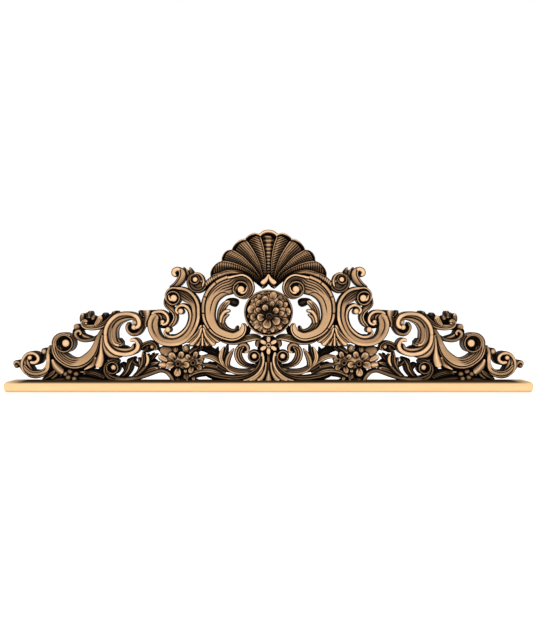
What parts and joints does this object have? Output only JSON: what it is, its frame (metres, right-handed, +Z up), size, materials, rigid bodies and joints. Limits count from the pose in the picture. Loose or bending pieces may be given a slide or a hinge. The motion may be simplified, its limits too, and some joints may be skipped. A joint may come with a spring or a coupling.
{
  "type": "carved baroque cresting",
  "caption": "Pierced baroque cresting of carved wood with a scallop shell, roundel and C-scrolls on a bullnosed rail.",
  "frame": {"origin": "centre of the rail's underside", "axes": "+X along the rail to the right seen from the front, -Y towards the viewer, +Z up"},
  "size_m": [1.2, 0.06, 0.3706],
  "materials": {
    "carved_wood": "dark glaze in the hollows, satin wax",
    "waxed_wood": "satin wax"
  },
  "bodies": {
    "root": {"carved_cresting": "carved_wood", "base_moulding": "waxed_wood"}
  },
  "joints": []
}
